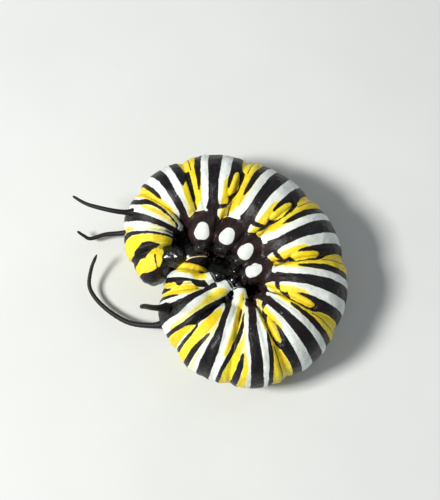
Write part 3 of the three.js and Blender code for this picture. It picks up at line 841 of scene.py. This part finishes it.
def add_hooks(line, radius, side, number):
    """A curved row of hooks round the inner half of a sole. Each is a bent thin cone."""
    end = line[-1]
    along = (line[-1] - line[-8]).normalized()
    across = Vector((0, 0, 1)).cross(along).normalized()
    lift = along.cross(across)
    for k in range(number):
        turn = math.pi * (k + 0.5) / number + (math.pi if side > 0 else 0)
        outward = across * math.cos(turn) + lift * math.sin(turn)
        root = end + outward * (radius * 0.62) - along * 0.12
        points = [root, root + along * 0.16 + outward * 0.02, root + along * 0.24 - outward * 0.1]
        add_limb(hooks, soft_line(points, 8), hook_radius, 6, 6)


def foot_radius(t):
    waist = 0.7 + 0.08 * float(smooth(t, 0.1, 0.65))
    return waist * rounded(t, 0.62, 2.6) * min(1, t * 6)


def clasper_radius(t):
    return 1.05 * math.sqrt(max(0, 1 - 0.55 * t * t - 0.45 * t**8)) * min(1, t * 8)


for side in (1, -1):
    for name, u, base, leans, reach in PROLEGS:
        line = proleg_line(u, side, leans, reach)[FOOT_START:]
        add_limb(feet, line, foot_radius, 32, 28, 1.08)
        add_hooks(line, 0.7, side, 16)
    line = soft_line([beside_trunk(12.5, a, b, side * c) for a, b, c in CLASPER_PATH])
    add_limb(feet, line, clasper_radius, 40, 40)
    add_hooks(line, 0.6, side, 14)
# The pads are slightly uneven. This noise starts from the clock unless it is given a seed.
noise.seed_set(7)
for vert in feet.verts:
    vert.co += noise.noise_vector(vert.co * 2.2) * 0.1
clasper_nodes = ("hind_proleg_right", "hind_proleg_left")
hard_black.give(finished(feet, "proleg_feet", clasper_nodes))
hook_piece = finished(hooks, "proleg_hooks")
horn = Finish("brown_horn", Roughness=0.3)
horn.colour(horn.noise(2500).step(0.3, 0.7), (0.02, 0.009, 0.005, 1), (0.06, 0.028, 0.013, 1))
horn.give(hook_piece)

# The head: one hard capsule with a groove down the middle, a sunken plate above the mouth and six
# bead-like lenses low on each cheek. A pale band runs down each cheek, and one borders the plate.
HEAD_DEPTH = 1.35
HEAD_HEIGHT = 1.65
HEAD_WIDTH = 1.75
HEAD_AHEAD = 1.45
LIFT = math.radians(10)


def head_place(forward, upward, rightward):
    """A place in the head, which sits before the neck and is tipped back a little."""
    ahead = HEAD_AHEAD + forward * math.cos(LIFT) - upward * math.sin(LIFT)
    backward = HEAD_BACK + upward * math.cos(LIFT) + forward * math.sin(LIFT)
    return beside_trunk(0, ahead, backward, rightward)


head = bmesh.new()
bmesh.ops.create_uvsphere(head, u_segments=128, v_segments=80, radius=1)
cheek_band = head.verts.layers.float.new("cheek_band")
face_band = head.verts.layers.float.new("face_band")
for vert in head.verts:
    z, x, y = vert.co
    x, y, z = x * HEAD_DEPTH, y * HEAD_HEIGHT, z * HEAD_WIDTH
    groove = 0.15 * math.exp(-((z / 0.2) ** 2)) * max(0, y / HEAD_HEIGHT)
    plate_edge = 0.72 * (0.5 - y) / 1.5 - abs(z)
    sunk = 0.0
    if x > 0 and y < 0.5:
        rim_groove = 0.05 * math.exp(-((plate_edge / 0.04) ** 2))
        sunk = 0.05 * float(smooth(plate_edge, -0.02, 0.1)) + rim_groove
    bow = 0.06 * math.exp(-(((abs(z) - 0.8) / 0.5) ** 2)) * max(0, y / HEAD_HEIGHT)
    scale = 1 - groove - sunk + bow
    vert[face_band] = 0.1 - abs(plate_edge + 0.16) if x > 0 and y < 0.85 else -1
    behind = -0.34 - 0.2 * y - 0.25 * max(0, y) ** 2
    vert[cheek_band] = 0.055 - abs(x - behind) - 0.4 * max(0, y - 1.1) - 0.4 * max(0, -y - 1.1)
    vert.co = head_place(x * scale, y * scale, z * scale)
head_piece = finished(head, "head_capsule", ("head",))
shell = Finish("head_shell", Roughness=0.22, Coat_Weight=0.3, Coat_Roughness=0.1)
speckle = shell.noise(2600, 3.0)
wander = (shell.noise(1500) - 0.5) * 0.1
on_cheek = shell.attribute("cheek_band")
bands = on_cheek.math("MAXIMUM", on_cheek, shell.attribute("face_band"))
shell_black = shell.mix(speckle.step(0.4, 0.8), (0.004, 0.004, 0.005, 1), (0.018, 0.014, 0.014, 1))
cream = shell.mix(speckle.step(0.3, 0.7), (0.86, 0.70, 0.30, 1), (0.74, 0.60, 0.34, 1))
shell.colour((bands + wander).step(-0.02, 0.02), shell_black, cream)
shell.bump(speckle * 0.5 + shell.noise(9000, 2.0) * 0.5, 0.00002, 0.6)
shell.give(head_piece)

LENS_RADIUS = 0.115
lenses = bmesh.new()
for side in (1, -1):
    for k in range(6):
        turn = math.radians(-60 + 42 * k)
        y = -0.55 + 0.38 * math.cos(turn)
        x = 0.5 + 0.38 * math.sin(turn)
        z = HEAD_WIDTH * math.sqrt(1 - (x / HEAD_DEPTH) ** 2 - (y / HEAD_HEIGHT) ** 2)
        bead = bmesh.ops.create_uvsphere(lenses, u_segments=20, v_segments=12, radius=LENS_RADIUS)
        bmesh.ops.translate(lenses, vec=head_place(x, y, side * (z - 0.02)), verts=bead["verts"])
lens_piece = finished(lenses, "eye_lenses")
glass = Finish("eye_glass", Roughness=0.06, Specular_IOR_Level=0.6)
glass.feed(Coat_Weight=0.6, Coat_Roughness=0.03)
glass.colour(glass.noise(3000).step(0.3, 0.7), (0.006, 0.005, 0.005, 1), (0.02, 0.012, 0.01, 1))
glass.give(lens_piece)

# The mouth: a notched upper lip over two toothed jaws, a lower lip with its silk spinneret and two
# feelers, and on each side a short antenna of three joints, pale at the root. All are hard.
mouth = bmesh.new()


def add_egg(mesh, at, size, shape=None):
    """An egg on the head, with its half sizes, and its own shape where one is given."""
    egg = bmesh.ops.create_uvsphere(mesh, u_segments=36, v_segments=20, radius=1)["verts"]
    for vert in egg:
        x, y, z = vert.co
        if shape:
            x, y, z = shape(x, y, z)
        vert.co = head_place(at[0] + x * size[0], at[1] + y * size[1], at[2] + z * size[2])


def lip_shape(x, y, z):
    notch = 0.55 * math.exp(-((z / 0.22) ** 2)) * max(0, -y)
    return x, y + notch, z


def jaw_shape(x, y, z):
    tooth = 0.16 * max(0, -y) ** 2 * math.cos(11 * x)
    return x, y + tooth, z * (1 - 0.3 * max(0, -y))


def feeler_radius(t):
    return 0.09 * (1 - 0.5 * t) * min(1, 6 * t) * min(1, 9 * (1 - t))


def spinneret_radius(t):
    return 0.1 * (1 - 0.75 * t) * min(1, 6 * t) * min(1, 12 * (1 - t))


def head_line(places, side, count=60):
    """A smooth line through places in the head, on the side given."""
    return soft_line([head_place(x, y, z * side) for x, y, z in places], count)


add_egg(mouth, (1.2, -1.0, 0), (0.42, 0.33, 0.6), lip_shape)
add_egg(mouth, (0.05, -1.8, 0), (0.4, 0.4, 0.46))
for side in (1, -1):
    add_egg(mouth, (0.85, -1.6, 0.57 * side), (0.43, 0.38, 0.4), jaw_shape)
    feeler = head_line(((0.2, -1.95, 0.3), (0.24, -2.15, 0.34), (0.3, -2.3, 0.36)), side, 12)
    add_limb(mouth, feeler, feeler_radius, 12, 12)
spinneret = head_line(((0.05, -2.05, 0), (0.12, -2.22, 0), (0.22, -2.36, 0)), 1, 12)
add_limb(mouth, spinneret, spinneret_radius, 12, 12)
mouth_nodes = ("labrum", "labium", "mandible_right", "mandible_left")
hard_black.give(finished(mouth, "mouth_parts", mouth_nodes))

antennae = bmesh.new()
root_layer = antennae.verts.layers.float.new("pale_root")


def blunt_ends(t, root, tip):
    """A limb's share of its thickness near its ends. A greater root or tip is a blunter one."""
    return min(1, root * t) * math.sqrt(max(0, min(1, tip * (1 - t))))


def joint_radius(t):
    joints = 0.24 if t < 0.42 else 0.17 if t < 0.78 else 0.1
    return joints * blunt_ends(t, 7, 9) * (1 - 0.25 * math.exp(-(((t - 0.42) / 0.04) ** 2)))


for side in (1, -1):
    line = head_line(((0.62, -0.95, 1.3), (0.66, -1.35, 1.42), (0.78, -1.78, 1.5)), side)
    before = len(antennae.verts)
    add_limb(antennae, line, joint_radius, 20, 40)
    antennae.verts.ensure_lookup_table()
    for vert in antennae.verts[before:]:
        vert[root_layer] = 0.42 - (vert.co - line[0]).length
antenna_piece = finished(antennae, "antennae", ("antenna_right", "antenna_left"))
antenna_shell = Finish("antenna_shell", Roughness=0.3)
paling = antenna_shell.attribute("pale_root") + (antenna_shell.noise(2500) - 0.5) * 0.1
antenna_shell.colour(paling.step(-0.03, 0.03), (0.008, 0.007, 0.007, 1), (0.55, 0.47, 0.33, 1))
antenna_shell.give(antenna_piece)

# The six true legs: hard glossy black joints, each narrowed at its root, that hook inwards from the
# soft lobes and end in one curved claw.
LEG_START = 27
legs = bmesh.new()


def leg_radius(t):
    joints = 0.42 - 0.26 * t
    for at in (0.36, 0.66):
        joints *= 1 - 0.3 * math.exp(-(((t - at) / 0.035) ** 2))
    claw = 1 - 0.55 * float(smooth(t, 0.86, 0.9))
    return joints * claw * blunt_ends(t, 6, 8)


for side in (1, -1):
    for name, u, base, path in LEGS:
        line = soft_line([under_ring(u, side, at) for at in path])[LEG_START:]
        add_limb(legs, line, leg_radius, 20, 60, 0.9)
leg_nodes = [f"{name}_{label}" for name, *_ in LEGS for label in ("right", "left")]
hard_black.give(finished(legs, "true_legs", leg_nodes))

# The filaments: two pairs of soft, slender horns of skin with a velvety black surface, a long pair
# behind the head and a short pair near the tail. Each grows out of a low black swelling. A row gives
# the number of the frame's nodes that it replaces, its radius at the root, and its places.
FILAMENTS = (
    ("front_filament_right", 3, 0.27, (
        (-3.5, -3.8, 5.6), (-4.7, -4.1, 6.9), (-5.3, -4.45, 8.6), (-5.45, -5.0, 10.6),
        (-5.35, -5.6, 12.7), (-5.2, -6.15, 14.6),
    )),
    ("front_filament_left", 4, 0.27, (
        (-3.6, -4.2, 2.2), (-5.2, -4.35, 1.9), (-7.4, -3.85, 1.3), (-9.6, -2.3, 0.9),
        (-10.8, -0.7, 1.1), (-10.7, 0.85, 1.7), (-10.15, 2.1, 2.4),
    )),
    ("rear_filament_right", 2, 0.25, (
        (-6.4, 5.1, 5.0), (-8.2, 5.1, 5.4), (-10.2, 5.6, 5.3), (-11.2, 6.05, 5.1), (-12.2, 6.7, 5.0),
    )),
    ("rear_filament_left", 2, 0.25, (
        (-6.6, 4.45, 1.8), (-8.3, 4.45, 1.3), (-9.6, 4.4, 1.1), (-10.9, 4.05, 1.0),
        (-11.5, 4.25, 1.2), (-12.1, 4.6, 1.5),
    )),
)
horns = bmesh.new()
filament_nodes = []


def filament_radius(root):
    """A long taper, with the swelling at the root and fine wrinkles all along."""

    def radius_at(t):
        foot = 0.3 * math.exp(-((t / 0.085) ** 2))
        wrinkle = 1 + 0.025 * math.sin(t * 190)
        return (root - 0.13 * t + foot) * wrinkle * blunt_ends(t, 30, 22)

    return radius_at


for name, lengths, root, path in FILAMENTS:
    filament_nodes += [f"{name}_{k + 1}" for k in range(lengths)]
    line = soft_line([Vector(at) - MIDDLE for at in path], 120)
    add_limb(horns, line, filament_radius(root), 20, 160)
filament_piece = finished(horns, "filaments", filament_nodes)
velvet = Finish("black_velvet", Roughness=0.55, Specular_IOR_Level=0.28)
nap = velvet.noise(6500, 3.0)
velvet.colour(nap.step(0.35, 0.8), (0.004, 0.003, 0.004, 1), (0.015, 0.011, 0.013, 1))
velvet.bump(nap, 0.00003, 0.8)
velvet.give(filament_piece)

# The hairs: a larva of this kind is nearly bald, with tiny stiff hairs spread thinly over the skin
# and a few longer ones on the head. Each is a thin tapered rod of four sides rooted in the skin.
SKIN_HAIRS = 1100
HEAD_HAIRS = 90
LOWEST_HAIR = 0.4
hairs = bmesh.new()
unwrap = hairs.loops.layers.uv.new("OFBake")
draw = np.random.default_rng(7)


def add_hair(root, outward, length, thick, patch):
    """One hair, with its own patch of the bake's unwrap."""
    rod = {"cap_ends": True, "segments": 4, "radius1": thick, "radius2": thick * 0.2, "depth": length}
    made = bmesh.ops.create_cone(hairs, **rod)["verts"]
    turn = outward.to_track_quat("Z", "Y").to_matrix().to_4x4()
    raised = Matrix.Translation(root + outward * (length * 0.5 - 0.03)) @ turn
    bmesh.ops.transform(hairs, matrix=raised, verts=made)
    for face in {face for vert in made for face in vert.link_faces}:
        for loop in face.loops:
            off = loop.vert.co - root
            loop[unwrap].uv = (patch[0] + 0.004 * off.x, patch[1] + 0.004 * off.y)


for _ in range(SKIN_HAIRS):
    u = draw.uniform(0.15, 12.7)
    turn = draw.uniform(-math.pi, math.pi)
    root, ahead, across, outward = skin_frame(u, turn)
    if root.z < LOWEST_HAIR:
        continue
    lean = Vector(draw.normal(0, 0.25, 3)) - ahead * 0.3
    patch = (0.1 + 0.8 * u / TAIL, 0.5 + turn / 7)
    add_hair(root, (outward + lean).normalized(), draw.uniform(0.16, 0.3), 0.011, patch)
for _ in range(HEAD_HAIRS):
    way = Vector(draw.normal(0, 1, 3)).normalized()
    if way.x < -0.2:
        continue
    root = head_place(way.x * HEAD_DEPTH, way.y * HEAD_HEIGHT, way.z * HEAD_WIDTH)
    outward = (root - head_place(0, 0, 0)).normalized()
    lean = Vector(draw.normal(0, 0.3, 3))
    patch = (0.05 + 0.03 * way.y, 0.5 + 0.4 * way.z)
    add_hair(root, (outward + lean).normalized(), draw.uniform(0.2, 0.42), 0.014, patch)
hair_piece = finished(hairs, "short_hairs")
bristle = Finish("short_bristle", Roughness=0.5)
bristle.colour(bristle.noise(900).step(0.4, 0.6), (0.03, 0.02, 0.016, 1), (0.20, 0.16, 0.12, 1))
bristle.give(hair_piece)

# The floor, the lights and the camera: a pale even floor, one large soft lamp to the left as the sun
# stands in the picture, a weak fill opposite, and a camera close overhead.
floor = bmesh.new()
bmesh.ops.create_grid(floor, x_segments=2, y_segments=2, size=0.6)
floor_data = bpy.data.meshes.new("floor")
floor.to_mesh(floor_data)
floor.free()
floor_piece = placed("floor", floor_data)
paper = Finish("pale_paper", Roughness=0.8, Specular_IOR_Level=0.2)
paper.colour(paper.noise(60).step(0.2, 0.8), (0.62, 0.64, 0.63, 1), (0.66, 0.68, 0.67, 1))
paper.give(floor_piece)

DISTANCE = 0.110
PIXEL = 0.0000885
PICTURE_HEIGHT = 500
SENSOR_HEIGHT = 36
elevation = math.radians(72)
looked_at = Vector((0.000885, 0.002047, 0.0038)) - MIDDLE * MILLIMETRE
toward_camera = Vector((0, -math.cos(elevation), math.sin(elevation)))
camera_data = bpy.data.cameras.new("camera")
camera_data.sensor_fit = "VERTICAL"
camera_data.sensor_height = SENSOR_HEIGHT
camera_data.lens = SENSOR_HEIGHT * DISTANCE / (PICTURE_HEIGHT * PIXEL)
camera_data.clip_start = 0.001
camera = placed("camera", camera_data)
camera.location = looked_at + toward_camera * DISTANCE
camera.rotation_euler = toward_camera.to_track_quat("Z", "Y").to_euler()
bpy.context.scene.camera = camera
bpy.context.scene.view_settings.view_transform = "Standard"


def add_lamp(name, place, size, watts, colour):
    lamp = bpy.data.lights.new(name, "AREA")
    lamp.size = size
    lamp.energy = watts
    lamp.color = colour
    holder = placed(name, lamp)
    holder.location = place
    holder.rotation_euler = Vector(place).to_track_quat("Z", "Y").to_euler()


add_lamp("key", (-0.17, -0.05, 0.2), 0.06, 0.95, (1.0, 0.98, 0.94))
add_lamp("fill", (0.15, 0.12, 0.2), 0.2, 0.1, (0.94, 0.97, 1.0))
world = bpy.data.worlds.new("studio")
world.use_nodes = True
background = world.node_tree.nodes["Background"]
background.inputs["Color"].default_value = (0.9, 0.95, 1.0, 1)
background.inputs["Strength"].default_value = 0.25
bpy.context.scene.world = world
